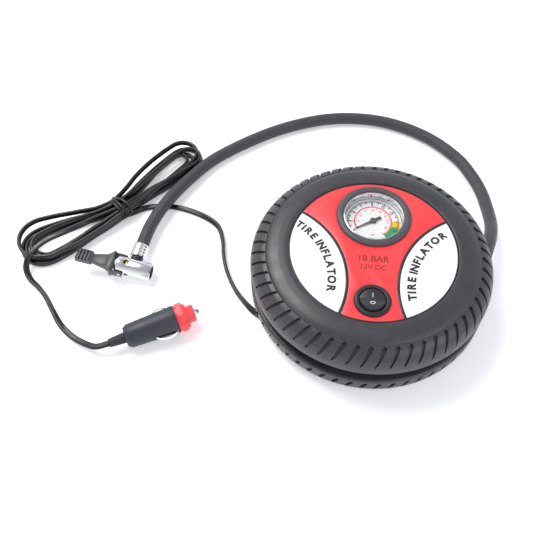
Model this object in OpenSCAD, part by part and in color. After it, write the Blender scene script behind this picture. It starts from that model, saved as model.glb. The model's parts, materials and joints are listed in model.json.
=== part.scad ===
// Portable tyre inflator, shaped like a small car wheel lying on its side.
// Two tread-moulded housings, a wide hose groove between them, a dial gauge
// and a rocker switch on top, and a piston compressor driven by a small motor.
// Origin: centre of the base, on the floor. +Z up, switch towards -Y.

/* [Housing] */
// outer diameter of both tread rings
body_d = 160; // [159:0.5:162]
// height of the top panel above the floor
body_h = 50; // [50:0.5:53]
// height of the groove that the hose winds into
groove_h = 10; // [9.8:0.1:10.2]
// wall thickness of the mouldings
wall = 2.2; // [2:0.1:2.4]
// number of slots round each tread
slots = 56; // [40:2:60]
// diameter of the round top panel
panel_d = 109.4; // [108:0.2:109.6]

/* [Gauge] */
// distance of the gauge from the middle of the panel
gauge_y = 26.3; // [26:0.1:27]
// outer diameter of the black bezel
bezel_d = 50; // [49:0.5:51]
// diameter of the window in the bezel
window_d = 40.4; // [40:0.1:41]
// full sweep of the pointer in degrees
pointer_sweep = 270; // [180:5:280]

/* [Switch] */
// distance of the switch from the middle of the panel
switch_y = -39.7; // [-40.5:0.1:-39]
// outer diameter of the switch bezel
switch_d = 23.2; // [22:0.1:24]
// radius of the round rocker about its pivot
rocker_r = 8.4; // [8:0.1:8.4]

/* [Compressor] */
// diameter of the motor can
motor_d = 28; // [27:0.1:28]
// bore of the cylinder
bore_d = 20.1; // [20.1:0.1:20.1]
// distance of the crank pin from the gear's axis
crank_r = 3.5; // [3:0.1:3.5]
// distance between the eyes of the connecting rod
rod_l = 22.5; // [22.2:0.1:22.5]
// gear module
tooth_m = 0.8; // [0.8:0.1:0.8]
// teeth on the crank gear
gear_teeth = 36; // [36:1:36]
// teeth on the motor pinion
pinion_teeth = 12; // [12:1:12]

/* [Hose and chuck] */
// outer diameter of the braided hose
hose_d = 9.2; // [8.5:0.1:9.4]
// outer diameter of the chuck barrel
chuck_d = 13; // [12.6:0.1:13]
// length of the chuck barrel
chuck_l = 26; // [25:0.5:26]

/* [Power lead] */
// width of the flat two-core cord
cord_w = 4.4; // [4:0.1:4.6]
// thickness of the flat two-core cord
cord_t = 2.6; // [2.4:0.1:2.6]
// largest diameter of the plug's collar
plug_d = 20; // [19.8:0.1:20.2]

/* [Hidden] */
$fn = 72;
eps = 0.01;
R = body_d/2;
groove_lo = 19.5;
groove_hi = groove_lo + groove_h;
drum_r = 65;
base_z = 1.2;                       // underside of the lower housing
floor_z = base_z + wall;            // inside of the lower housing
deck_z = body_h - 2;                // recess floor under the panels
panel_r = panel_d/2;
arc_x = 77.5;                       // centre of the panel's side arcs
arc_y = -28;
arc_r = 61.5;
border = 0.95;                      // half width of the black border along the inserts
edge_w = 0.8;                       // width of the black border round the panel

screw_r = 56;                       // pitch radius of the housing screws
screw_at = [60, 150, 240, 285];
foot_at = [45, 135, 225, 315];

case_r = 23.4;                      // gauge case
case_z = 34;
dial_z = 43.8;
lens_z = body_h + 0.2;

motor_y = 25;
motor_z = 19.2;
gear_z = motor_z + 2;
mesh = tooth_m*(gear_teeth + pinion_teeth)/2;
gear_y = motor_y - sqrt(mesh*mesh - 4);
mesh_angle = atan2(motor_z - gear_z, motor_y - gear_y);
gear_x = 26;
gear_t = 5;
rod_x = 35.5;                       // plane of rod, piston and cylinder
wrist_y = gear_y - rod_l;
crown_y = -29.4;                     // outer face of the piston at mid stroke
cyl_top = -12;
cyl_end = -33.5;
head_end = -39.5;
piston_r = bore_d/2 - 0.05;

gland_at = -52;                     // angle of the hose outlet in the groove
hose_z = (groove_lo + groove_hi)/2;
hose_lane = drum_r + hose_d/2 + 0.8;

cord_exit = [-63.5, -33.2, 3.9];    // mouth of the cord's gland, under the base
cord_turn = 157;

chuck_at = [-164.1, -2.7, 8.35];
chuck_turn = -6;
chuck_pitch = 8;                    // the lever's end lies higher than the mouth
lever_x = -8.5;                     // pivot of the lever, in the barrel's sides
neck_y = 8.8;
ferrule_l = 10.4;

plug_at = [-168, -62.9, 8.47];
plug_turn = 27.4;
plug_tilt = 2.25;
plug_body_x = 11.5;
collar_x = 47;
contact_x = 38;
neck_x = 54.5;
tip_x = 59.5;

charcoal = [0.16, 0.16, 0.18];
black = [0.06, 0.06, 0.07];
red = [0.85, 0.13, 0.12];
white = [0.95, 0.95, 0.95];
silver = [0.78, 0.79, 0.8];
steel = [0.6, 0.61, 0.63];
brass = [0.8, 0.62, 0.3];

// Hand-placed routes of the free and inner lines, as [x, y, z].
hose_route = [
    [48.9, -50.6, 24.5], [56, -42.6, 24.5], [62, -33.3, 24.5], [66.5, -23, 24.5],
    [70, -11, 24.5], [74, 4, 24.5], [79.5, 20, 24.4], [85, 37, 20.8], [88.7, 55, 14.2],
    [89, 74, 8.4], [86.6, 93, 5.5], [80.5, 110, 4.7], [70, 127.5, 4.7], [48, 147.5, 4.7],
    [19, 160.8, 4.7], [-11, 164.5, 4.7], [-43, 159.2, 4.7], [-80, 142, 4.7],
    [-118.5, 112, 5], [-138.5, 84.5, 6.4], [-152, 58, 7.8], [-158.9, 37, 8.2], [-162.1, 16.4, 8.35]
];
lead_route = [
    [-63.5, -33.2, 3.9], [-70, -30.2, 2.8], [-76.5, -25.8, 1.7], [-83, -19.8, 1.4],
    [-91, -10, 1.4], [-98.5, 4, 1.4], [-103, 18, 1.4], [-105.6, 32, 1.4],
    [-110.5, 44, 1.4], [-120.5, 52, 1.4], [-134, 57.6, 1.4], [-146, 60, 1.4],
    [-159, 59.6, 1.4], [-171, 55.6, 2], [-178.5, 53, 3.2]
];
plug_route = [
    [-240.5, -6, 3], [-233.5, -12.5, 1.6], [-225, -22, 1.4], [-216, -36, 1.4], [-206, -48.6, 1.4],
    [-196.5, -56, 1.8], [-187, -61.5, 3.6], [-177, -65.4, 6.5], [-168, -62.9, 8.47]
];
gauge_route = [
    [31.6, -43, 21], [22, -45.5, 16], [11, -38, 12.5], [3, -25, 12.5], [0, -10, 15],
    [0, 0, 19.5], [0, 5, 26]
];
feed_route = [[-51.9, -38.2, 3.9], [-42, -41, 7], [-28, -44, 11], [-14, -44.5, 16], [-2.5, -43.2, 19.5]];
motor_route = [[-2.5, -36.2, 19.5], [-14, -30, 15], [-26, -14, 12], [-33, 4, 14], [-30.1, 17, 19]];

// ---- helpers -------------------------------------------------------------

function unit(v) = v/norm(v);
function heading(p, i) = unit(p[min(i + 1, len(p) - 1)] - p[max(i - 1, 0)]);
function across(t) = unit(cross(t, [0, 0, 1]));
function ring_at(p, t, a, b, n) = [for (k = [0:n - 1])
    p + a*cos(360*k/n)*across(t) + b*sin(360*k/n)*cross(across(t), t)];

// A closed line of oval section, a wide and b high, along route p.
module line(p, a, b, n = 8) {
    last = len(p) - 1;
    rings = [for (i = [0:last]) each ring_at(p[i], heading(p, i), a/2, b/2, n)];
    sides = [for (i = [0:last - 1], k = [0:n - 1]) let (j = (k + 1) % n)
        each [[i*n + k, (i + 1)*n + k, i*n + j], [i*n + j, (i + 1)*n + k, (i + 1)*n + j]]];
    polyhedron(rings, concat(sides, [[for (k = [0:n - 1]) k]],
        [[for (k = [n - 1:-1:0]) last*n + k]]));
}

// Children drawn in the plane X = x, first axis along Y, second along Z.
module across_x(x, y, z) translate([x, y, z]) rotate([90, 0, 90]) children();
// Children standing along -Y, starting at the given point.
module along_y(x, y, z) translate([x, y, z]) rotate([90, 0, 0]) children();
module around(angles, r) for (a = angles) rotate(a) translate([r, 0, 0]) children();
module tube(r_out, r_in, h) difference() {
    cylinder(r = r_out, h = h);
    translate([0, 0, -1]) cylinder(r = r_in, h = h + 2);
}

module gear_shape(teeth, turn) {
    pitch = teeth*tooth_m/2;
    step = 360/teeth;
    polygon([for (k = [0:teeth - 1], c = [[-0.31, -1.25], [-0.13, 0.8], [0.13, 0.8], [0.31, -1.25]])
        let (a = turn + (k + c[0])*step, r = pitch + c[1]*tooth_m) [r*cos(a), r*sin(a)]]);
}

// ---- housings ------------------------------------------------------------

module upper_outline() polygon([
    [0, deck_z], [panel_r + 0.2, deck_z], [panel_r + 0.2, body_h + 0.3], [panel_r + 0.9, body_h + 0.7],
    [58, body_h + 0.8], [62, body_h + 0.5], [66, body_h - 0.3], [R - 11, body_h - 1.4],
    [R - 10.7, body_h - 2.2], [R - 10.2, body_h - 1.9], [R - 7.5, body_h - 2.9],
    [R - 4.8, body_h - 4.7], [R - 2.4, body_h - 7.3], [R - 0.8, body_h - 10.6],
    [R, body_h - 14], [R, groove_hi + 1.6], [R - 0.7, groove_hi + 0.4],
    [R - 2, groove_hi], [0, groove_hi]]);

module upper_hollow() polygon([
    [0, deck_z - wall], [56, deck_z - wall], [64, body_h - 3.8], [R - 10, body_h - 5.4],
    [R - 5.6, body_h - 8.3], [R - 3, body_h - 12.3], [R - wall - 0.2, body_h - 15.5],
    [R - wall - 0.2, groove_hi + wall], [drum_r - wall, groove_hi + wall],
    [drum_r - wall, groove_hi - 1], [0, groove_hi - 1]]);

module lower_outline() polygon([
    [0, base_z], [R - 9.5, base_z], [R - 5.5, base_z + 1.3], [R - 2.4, base_z + 3.8],
    [R - 0.7, base_z + 6.8], [R, base_z + 10], [R, groove_lo - 1.6], [R - 0.7, groove_lo - 0.4],
    [R - 2, groove_lo], [drum_r, groove_lo], [drum_r, groove_hi], [0, groove_hi]]);

module lower_hollow() polygon([
    [0, floor_z], [R - 10.5, floor_z], [R - 6.8, floor_z + 1.4], [R - 4.2, floor_z + 3.8],
    [R - wall - 0.2, floor_z + 8], [R - wall - 0.2, groove_lo - wall],
    [drum_r - wall, groove_lo - wall], [drum_r - wall, groove_hi + 1], [0, groove_hi + 1]]);

// One slanted slot: a wide rounded head by the ridge, tapering to a point.
module slot_cut(low, high) translate([0, 0, 0.1]) linear_extrude(5) union() {
    polygon([[-high, -1.5], [-high, 1.5], [low, -5.2], [low, -5.7]]);
    translate([-high, 0]) circle(r = 1.5, $fn = 16);
}

module shoulder_slots() for (k = [0:slots - 1]) rotate(k*360/slots)
    translate([R - 4.8, 0, body_h - 6.7]) rotate([0, 45, 0]) slot_cut(6, 5);
module side_slots(z) for (k = [0:slots - 1]) rotate(k*360/slots)
    translate([R - 1.3, 0, z]) rotate([0, 90, 0]) slot_cut(4.1, 2.6);

module boss_ring(z, h) around(screw_at, screw_r) translate([0, 0, z]) cylinder(r = 3.6, h = h);
module boss_holes(r, z, h) around(screw_at, screw_r) translate([0, 0, z]) cylinder(r = r, h = h, $fn = 32);

module upper_housing() color(charcoal) difference() {
    union() {
        difference() {
            rotate_extrude($fn = 120) upper_outline();
            rotate_extrude($fn = 120) upper_hollow();
        }
        boss_ring(groove_hi, deck_z - groove_hi - 1);
    }
    shoulder_slots();
    boss_holes(1.45, groove_hi - 1, 12);
    translate([0, gauge_y, 0]) cylinder(r = case_r + 0.2, h = 60);
    translate([0, switch_y, 0]) cylinder(r = 10.2, h = 60);
}

// Shallow run under the base that lets the flat cord out at the rim.
module cord_run(w, top, from) translate([cord_exit[0], cord_exit[1], 0]) rotate(cord_turn)
    translate([from, -w/2, -1]) cube([30, w, top + 1]);

module at_cord_exit(x) translate(cord_exit) rotate([0, 90, cord_turn]) translate([0, 0, x]) children();

module lower_housing() color(charcoal) difference() {
    union() {
        difference() {
            rotate_extrude($fn = 120) lower_outline();
            rotate_extrude($fn = 120) lower_hollow();
        }
        boss_ring(floor_z - 1, groove_hi - floor_z + 1);
        intersection() {
            rotate_extrude($fn = 120) lower_outline();
            cord_run(15, 9, -8.5);
        }
    }
    cord_run(11, 6.8, -6);
    at_cord_exit(-14) cylinder(r = 2.6, h = 8.2, $fn = 32);
    side_slots(base_z + 11.6);
    boss_holes(1.7, 0, 40);
    boss_holes(3.2, 0, 6);
    rotate(gland_at) translate([drum_r, 0, hose_z]) rotate([0, 90, 0]) translate([0, 0, -5]) cylinder(r = 3.3, h = 10);
}

module housing_screws() color(steel) around(screw_at, screw_r) difference() {
    union() {
        translate([0, 0, 4]) cylinder(r = 3, h = 1.9, $fn = 32);
        translate([0, 0, 5.8]) cylinder(r = 1.4, h = 32, $fn = 32);
    }
    for (a = [0, 90]) rotate(a) translate([-1.6, -0.3, 3]) cube([3.2, 0.6, 2]);
}

module feet() color(black) around(foot_at, 50) rotate_extrude($fn = 40)
    polygon([[0, 0], [5.4, 0], [6, 0.4], [6, base_z], [0, base_z]]);

// ---- top panel -----------------------------------------------------------

module side_arcs(r) for (s = [-1, 1]) translate([s*arc_x, arc_y]) circle(r = r, $fn = 120);
module panel_plate() translate([0, 0, deck_z]) linear_extrude(2) children();
module panel_face(gap) circle(r = panel_r - edge_w + gap, $fn = 120);
module panel_openings() {
    translate([0, gauge_y]) circle(r = case_r + 0.2);
    translate([0, switch_y]) circle(r = 10.2);
}

module red_panel() color(red) panel_plate() difference() {
    panel_face(0);
    side_arcs(arc_r + border);
    panel_openings();
}

module panel_border() color(black) panel_plate() difference() {
    circle(r = panel_r, $fn = 120);
    difference() {
        panel_face(0.02);
        side_arcs(arc_r + border - 0.02);
    }
    intersection() {
        panel_face(0.02);
        side_arcs(arc_r - border + 0.02);
    }
}

module white_insert(side) color(white) panel_plate() intersection() {
    panel_face(0);
    translate([side*arc_x, arc_y]) circle(r = arc_r - border, $fn = 120);
}

// ---- gauge ---------------------------------------------------------------

module at_gauge(z) translate([0, gauge_y, z]) children();

module gauge_bezel() color(black) at_gauge(body_h) rotate_extrude($fn = 96) polygon([
    [window_d/2, 0], [bezel_d/2 - 0.2, 0], [bezel_d/2, 0.4], [bezel_d/2 - 0.3, 1.4],
    [bezel_d/2 - 1, 2], [bezel_d/2 - 2, 2.3], [window_d/2 + 1.2, 2.3], [window_d/2 + 0.3, 1.9],
    [window_d/2, 1.3]]);

module gauge_rim() color(silver) at_gauge(dial_z) rotate_extrude($fn = 96) polygon([
    [19.3, 0], [22.1, 0], [22.1, body_h - dial_z - 0.1], [window_d/2 - 0.1, body_h - dial_z - 0.1],
    [window_d/2 - 0.1, body_h - dial_z + 1.2], [19.3, body_h - dial_z + 1.2]]);

module gauge_lens() color([0.9, 0.95, 1, 0.3]) at_gauge(lens_z) cylinder(r = 19.25, h = 0.9, $fn = 96);

module gauge_dial() color(white) at_gauge(dial_z) difference() {
    cylinder(r = 19.2, h = 0.7, $fn = 96);
    translate([0, 0, -1]) cylinder(r = 1.1, h = 3, $fn = 24);
}

module gauge_pointer() color([0.25, 0.25, 0.27]) at_gauge(0) {
    translate([0, 0, 38]) cylinder(r = 0.95, h = 7.1, $fn = 24);
    translate([0, 0, dial_z + 1.1]) cylinder(r = 2.1, h = 1.2, $fn = 32);
    translate([0, 0, dial_z + 1.3]) rotate(212) linear_extrude(0.6)
        polygon([[-6, -1.1], [-6, 1.1], [0, 0.9], [13.6, 0.15], [13.6, -0.15], [0, -0.9]]);
}

module gauge_case() color(black) at_gauge(0) difference() {
    union() {
        translate([0, 0, case_z]) cylinder(r = case_r, h = body_h - case_z, $fn = 96);
        translate([0, 0, body_h - 0.1]) tube(window_d/2 - 0.02, window_d/2 - 0.08, 0.1);
    }
    translate([0, 0, case_z + 1.2]) cylinder(r = 22.2, h = 30, $fn = 96);
    translate([0, -20.3, case_z - 1]) cylinder(r = 2.6, h = 4, $fn = 32);
}

// Curled pressure tube with its brass stem, and the geared post of the pointer.
module bourdon_movement() color(brass) at_gauge(0) {
    difference() {
        translate([0, 0, 36.5]) tube(17, 14.6, 5);
        translate([0, -30, 30]) cube([30, 30, 20]);
    }
    translate([0, -20.3, 22.6]) cylinder(r = 2.5, h = 13, $fn = 32);
    translate([-2, -21.5, 35.2]) cube([4, 6, 5]);
    difference() {
        translate([0, 0, 35.2]) cylinder(r = 3.4, h = 6.6, $fn = 32);
        translate([0, 0, 37.7]) cylinder(r = 1, h = 6, $fn = 24);
    }
    translate([-15, -1, 35.2]) cube([30, 2, 1.2]);
}

// ---- switch --------------------------------------------------------------

module at_switch(z) translate([0, switch_y, z]) children();
pivot_z = body_h - 1;

module switch_body() color(black) at_switch(0) difference() {
    union() {
        translate([0, 0, 24]) cylinder(r = 10.1, h = body_h - 24);
        translate([0, 0, body_h]) rotate_extrude() polygon([
            [0, 0], [switch_d/2, 0], [switch_d/2, 0.7], [switch_d/2 - 0.7, 1.6],
            [switch_d/2 - 1.7, 1.9], [rocker_r + 0.3, 1.6], [0, 1.6]]);
    }
    translate([0, 0, pivot_z - 9]) cylinder(r = rocker_r + 0.3, h = 20);
    for (s = [-1, 1]) translate([0, 0, pivot_z]) rotate([0, 90*s, 0]) cylinder(r = 1.05, h = 9.7, $fn = 24);
}

module rocker() color(black) at_switch(pivot_z) {
    intersection() {
        sphere(r = rocker_r, $fn = 64);
        translate([-10, 0, 0]) rotate([90, 0, 90]) linear_extrude(20) polygon([
            [-8.4, -0.6], [-9, 6.2], [-6.6, 5.2], [-1, 2.65], [0.6, 2.2], [2, 2.25], [9, 2.75],
            [9, -1.4], [4.5, -4.5], [-4.5, -4.5]]);
    }
    for (s = [-1, 1]) rotate([0, 90*s, 0]) translate([0, 0, 6]) cylinder(r = 1, h = 3.5, $fn = 24);
}

module switch_terminals() color(brass) for (y = [-3.5, 3.5]) at_switch(0)
    translate([-2.4, y - 0.4, 16.5]) difference() {
        cube([4.8, 0.8, 7.5]);
        translate([2.4, 2, 1.8]) rotate([90, 0, 0]) cylinder(r = 0.8, h = 4, $fn = 24);
    }

// ---- motor and drive -----------------------------------------------------

module at_motor(x) across_x(x, motor_y, motor_z) children();
module at_crank(x) across_x(x, gear_y, gear_z) children();

module motor_can() color(steel) difference() {
    union() {
        at_motor(-22) cylinder(r = motor_d/2, h = 38);
        at_motor(16) cylinder(r = 5, h = 2);
    }
    at_motor(-23) cylinder(r = motor_d/2 - 1, h = 37.5);
    at_motor(10) cylinder(r = 1.56, h = 10, $fn = 32);
}

module motor_end_cap() color(black) difference() {
    union() {
        at_motor(-26) cylinder(r = motor_d/2 - 0.2, h = 4);
        for (s = [-1, 1]) translate([-30, motor_y + s*8 - 1.4, motor_z - 0.4]) cube([4.2, 2.8, 0.8]);
    }
    at_motor(-24.5) cylinder(r = 1.56, h = 4, $fn = 32);
}

module motor_magnets() color([0.3, 0.3, 0.32]) difference() {
    at_motor(-16) tube(motor_d/2 - 1.05, 10, 24);
    for (s = [-1, 1]) translate([-20, motor_y - 20, motor_z + s*13 - 7]) cube([40, 40, 14]);
}

module motor_rotor() color(brass) {
    at_motor(-24) cylinder(r = 1.5, h = 56, $fn = 32);
    at_motor(-15) difference() {
        cylinder(r = 9.4, h = 22);
        for (a = [0:72:288]) rotate(a) translate([5.5, -0.8, -1]) cube([6, 1.6, 24]);
    }
    at_motor(-20.5) cylinder(r = 3.4, h = 6, $fn = 32);
}

module motor_pinion() color(brass) at_motor(gear_x) difference() {
    linear_extrude(gear_t + 0.6) gear_shape(pinion_teeth, mesh_angle + 180);
    translate([0, 0, -1]) cylinder(r = 1.5, h = 8, $fn = 32);
}

// Die-cast plate that carries motor, crank bearing and cylinder.
module drive_frame() color(silver) difference() {
    union() {
        translate([18, -31, 5]) cube([2.5, 71, 27]);
        at_crank(12) cylinder(r = 5, h = 13);
        along_y(rod_x, -15, gear_z) cylinder(r = 15, h = 4);
        translate([18, -19, 5]) cube([10, 4, 27]);
        for (y = [-28, 34]) translate([10, y, floor_z]) cube([10.5, 4, 4]);
    }
    at_crank(11) cylinder(r = 3.05, h = 16, $fn = 40);
    at_motor(15) cylinder(r = 5.02, h = 8);
    along_y(rod_x, -10, gear_z) cylinder(r = bore_d/2 + 2.42, h = 12);
    for (s = [-1, 1]) at_motor(15) translate([s*9, 0, 0]) cylinder(r = 1.3, h = 8, $fn = 24);
}

module crank_gear() color(white) {
    at_crank(12.2) cylinder(r = 3, h = gear_x - 12.2 + 1, $fn = 40);
    difference() {
        at_crank(gear_x) linear_extrude(gear_t) gear_shape(gear_teeth, mesh_angle + 180/gear_teeth);
        for (a = [30:60:330]) if (a != 90) at_crank(gear_x - 1) rotate(a) translate([9, 0, 0])
            cylinder(r = 2.4, h = gear_t + 2, $fn = 32);
    }
    at_crank(gear_x + gear_t) cylinder(r = 7.6, h = 0.6, $fn = 48);
}

module crank_pin() color(steel) at_crank(gear_x + gear_t + 0.6) translate([0, crank_r, 0]) {
    cylinder(r = 2, h = 6.6, $fn = 40);
    translate([0, 0, 6.3]) cylinder(r = 3, h = 0.8, $fn = 40);
}

// Drawn with the crank pin at its highest point.
module connecting_rod() color(silver) translate([rod_x - 2.5, 0, 0]) difference() {
    union() {
        across_x(0, gear_y, gear_z + crank_r) cylinder(r = 4.4, h = 4.6, $fn = 48);
        across_x(0.6, wrist_y, gear_z + crank_r) cylinder(r = 3.5, h = 3.8, $fn = 48);
        translate([0.6, wrist_y, gear_z + crank_r - 1.8]) cube([3.8, rod_l, 3.6]);
    }
    across_x(-1, gear_y, gear_z + crank_r) cylinder(r = 2.05, h = 7, $fn = 40);
    across_x(-1, wrist_y, gear_z + crank_r) cylinder(r = 1.6, h = 7, $fn = 32);
}

module piston() color(silver) difference() {
    along_y(rod_x, crown_y + 15.4, gear_z) cylinder(r = piston_r, h = 15.4);
    along_y(rod_x, crown_y + 16.4, gear_z) cylinder(r = 8.5, h = 14.4);
    along_y(rod_x, crown_y + 2.2, gear_z) tube(piston_r + 1, piston_r - 1, 1.2);
}

module piston_ring() color(black) along_y(rod_x, crown_y + 2.15, gear_z)
    tube(piston_r + 0.02, piston_r - 0.98, 1.1);

module cylinder_part() difference() {
    union() {
        along_y(rod_x, cyl_top, gear_z) cylinder(r = bore_d/2 + 2.4, h = cyl_top - cyl_end);
        for (k = [0:3]) along_y(rod_x, -20.5 - 3.6*k, gear_z) cylinder(r = 14, h = 1.6);
    }
    along_y(rod_x, cyl_top + 1, gear_z) cylinder(r = bore_d/2, h = 40);
}

module head_part() difference() {
    union() {
        translate([rod_x - 11, head_end, gear_z - 11]) cube([22, cyl_end - head_end - 0.4, 22]);
        along_y(rod_x, cyl_end - 0.2, gear_z) cylinder(r = 6, h = 1);
    }
    along_y(rod_x, cyl_end + 1, gear_z) cylinder(r = 3.4, h = 4);
    for (x = [-8, 8], z = [-8, 8]) along_y(rod_x + x, cyl_end, gear_z + z)
        cylinder(r = 1.4, h = 8, $fn = 24);
}

module valve_reed() color(steel) along_y(rod_x, cyl_end - 2.2, gear_z) cylinder(r = 3.2, h = 0.4);

module outlet_block() color(brass) {
    along_y(rod_x, head_end, gear_z) cylinder(r = 3.4, h = 5.6);
    translate([31.4, head_end - 5, gear_z - 1.6]) cube([5, 3.2, 3.2]);
}

module gauge_tube() color([0.8, 0.85, 0.9]) line(gauge_route, 4, 4);

module wires() color(red) {
    line(feed_route, 2, 2);
    line(motor_route, 2, 2);
}

// ---- hose and chuck ------------------------------------------------------

module hose_gland() color(black) rotate(gland_at) {
    translate([57.5, 0, hose_z]) rotate([0, 90, 0]) cylinder(r = 3.2, h = hose_lane - 57.5);
    translate([hose_lane, 7.4, hose_z]) rotate([90, 0, 0]) cylinder(r = 4.85, h = 12);
}

module air_hose() color(black) line(hose_route, hose_d, hose_d, 12);

module at_chuck() translate(chuck_at) rotate([0, chuck_pitch, chuck_turn]) children();
module chuck_turned(x) at_chuck() translate([x, 0, 0]) rotate([0, 90, 0]) children();
module chuck_side(y) at_chuck() translate([0, y, 0]) rotate([-90, 0, 0]) children();

module hose_ferrule() color(silver) {
    chuck_side(neck_y) cylinder(r = 5.3, h = ferrule_l);
    for (k = [0:3]) chuck_side(neck_y + 0.8 + 2.5*k) cylinder(r = 5.6, h = 1.4);
}

module chuck_inlet() color(black) {
    chuck_side(5.2) cylinder(r = 3.4, h = neck_y - 5.2, $fn = 40);
    chuck_side(6.9) cylinder(r = 4.3, h = 1.2, $fn = 40);
}

module chuck_barrel() color(silver) difference() {
    union() {
        chuck_turned(-chuck_l/2) cylinder(r1 = 5, r2 = chuck_d/2, h = 1.8);
        chuck_turned(-chuck_l/2 + 1.8) cylinder(r = chuck_d/2, h = chuck_l - 2.4);
        chuck_turned(chuck_l/2 - 0.6) cylinder(r1 = chuck_d/2, r2 = chuck_d/2 - 0.5, h = 0.6);
    }
    chuck_turned(-9.5) cylinder(r = 4.9, h = 30);
    chuck_side(0) cylinder(r = 3.42, h = 10, $fn = 40);
    at_lever() rotate([90, 0, 0]) translate([0, 0, -8]) cylinder(r = 1.2, h = 16, $fn = 32);
    at_chuck() translate([-5, 0, 0]) cylinder(r = 2.2, h = 10, $fn = 32);
    at_chuck() translate([-3.8, 0, 0]) rotate([90, 0, 0]) cylinder(r = 1.5, h = 10, $fn = 32);
}

module chuck_seal() color(black) chuck_turned(4.2) tube(4.85, 3.9, 9);

module valve_depressor() color(brass) {
    chuck_turned(-5.6) tube(4.85, 1, 1.6);
    chuck_turned(-5.6) cylinder(r = 1.1, h = 9.4, $fn = 32);
}

module at_lever() at_chuck() translate([lever_x, 0, 0]) children();
module lever_side() rotate([90, 0, 0]) linear_extrude(16, center = true) union() {
    circle(r = 2.6, $fn = 40);
    polygon([[0, 2.6], [-5.2, 2.6], [-6.2, 4.6], [-8.6, 4.6], [-12, 3], [-20, 2], [-21.6, 2.6],
        [-32.1, 2.6], [-32.5, 2.2], [-32.5, -2.2], [-21.6, -2.2], [-12, -3], [-8.6, -4.4],
        [-6.2, -4.4], [-5.2, -2.6], [0, -2.6]]);
}
module lever_plan() for (s = [-1, 1]) scale([1, s]) polygon([[3, 0], [3, 7.95], [-6.4, 7.95],
    [-7.6, 7.3], [-8.8, 5.4], [-11, 4.6], [-20.6, 2.9], [-21.4, 4.3], [-32.5, 4.4], [-32.5, 0]]);

module chuck_lever() color([0.2, 0.2, 0.22]) at_lever() difference() {
    union() {
        intersection() {
            lever_side();
            translate([0, 0, -6]) linear_extrude(12) lever_plan();
        }
        for (k = [0:3]) translate([-31 + 2.3*k, -4.2, 2.5]) cube([1.1, 8.4, 0.6]);
    }
    rotate([90, 0, 0]) translate([0, 0, -6.85]) cylinder(r = 7.4, h = 13.7);
    rotate([90, 0, 0]) translate([0, 0, -9]) cylinder(r = 1.2, h = 18, $fn = 32);
}

module lever_pin() color(steel) for (s = [-1, 1]) at_lever() rotate([90*s, 0, 0])
    translate([0, 0, 5.1]) cylinder(r = 1.15, h = 2.95, $fn = 32);

// ---- power lead and plug -------------------------------------------------

module cord_gland() color(black) at_cord_exit(-12.5) {
        cylinder(r = 2.55, h = 12.5, $fn = 32);
        translate([0, 0, 6.6]) cylinder(r = 2.9, h = 1.6, $fn = 32);
    }

module power_lead() color(black) line(lead_route, cord_w, cord_t);
module plug_lead() color(black) line(plug_route, cord_w, cord_t);

module hank_lobe(ends) for (e = ends) {
    a = atan2(e[1], e[0]);
    polygon([[-3*sin(a) - 2*cos(a), 3*cos(a) - 2*sin(a)], [3*sin(a) - 2*cos(a), -3*cos(a) - 2*sin(a)],
        [e[0] + e[2]*sin(a), e[1] - e[2]*cos(a)], [e[0] - e[2]*sin(a), e[1] + e[2]*cos(a)]]);
    translate([e[0], e[1]]) circle(r = e[2]);
}

// The folded spare cord, as one closed solid of its outer shape.
module cord_hank() color(black) translate([-186.5, 51, 0]) linear_extrude(9)
    union() {
        hank_lobe([[40, 54.5, 13], [-51, -39, 18]]);
        circle(r = 8.5);
    }

module cord_tie() color(black) translate([-186.5, 51, 0]) rotate(47) difference() {
    translate([-2, -9.8, 0]) cube([4, 19.6, 10.4]);
    translate([-3, -8.9, -1]) cube([6, 17.8, 10.1]);
}

module at_plug() translate(plug_at) rotate([0, -plug_tilt, plug_turn]) children();
module plug_turned(x) at_plug() translate([x, 0, 0]) rotate([0, 90, 0]) children();

module plug_strain_relief() color(black)
    plug_turned(0) cylinder(r1 = 2.9, r2 = 3.8, h = plug_body_x);

module plug_barrel() color(black) difference() {
    union() {
        plug_turned(plug_body_x) cylinder(r1 = 6.6, r2 = 8.1, h = 2.5);
        plug_turned(plug_body_x + 2.5) cylinder(r1 = 8.1, r2 = 9.5, h = collar_x - plug_body_x - 2.5);
    }
    plug_turned(plug_body_x + 4) cylinder(r = 6.6, h = 60);
    for (s = [-1, 1]) at_plug() translate([contact_x - 9, s*8.4 - 3, -1]) cube([19, 6, 2]);
}

// Stepped eight-sided collar that screws off to change the fuse.
module eight_sided(x, r, h) plug_turned(x) linear_extrude(h)
    polygon([for (k = [0:7]) [r*cos(45*k + 22.5), r*sin(45*k + 22.5)]]);

module plug_collar() color(red) difference() {
    union() {
        plug_turned(collar_x) cylinder(r = plug_d/2 - 0.9, h = 2);
        eight_sided(collar_x + 1.6, plug_d/2, 4.2);
        eight_sided(collar_x + 5.8, plug_d/2 - 1.6, 1.7);
        eight_sided(neck_x, 6, tip_x - neck_x);
    }
    plug_turned(collar_x - 1) cylinder(r = 6.6, h = 7.8);
    plug_turned(neck_x - 2) cylinder(r = 2.5, h = 12, $fn = 40);
}

module plug_tip() color(steel) {
    plug_turned(neck_x - 2) cylinder(r = 4.6, h = 1.2, $fn = 40);
    plug_turned(neck_x - 1) cylinder(r = 2.45, h = 7.2, $fn = 40);
    plug_turned(neck_x + 6.2) cylinder(r1 = 2.45, r2 = 1.3, h = 2, $fn = 40);
}

module plug_spring() color(steel) plug_turned(neck_x - 6.6) tube(3.4, 2.6, 4.5);
module plug_fuse() color([0.85, 0.85, 0.8]) plug_turned(neck_x - 36.8) cylinder(r = 3.1, h = 30, $fn = 40);

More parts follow.
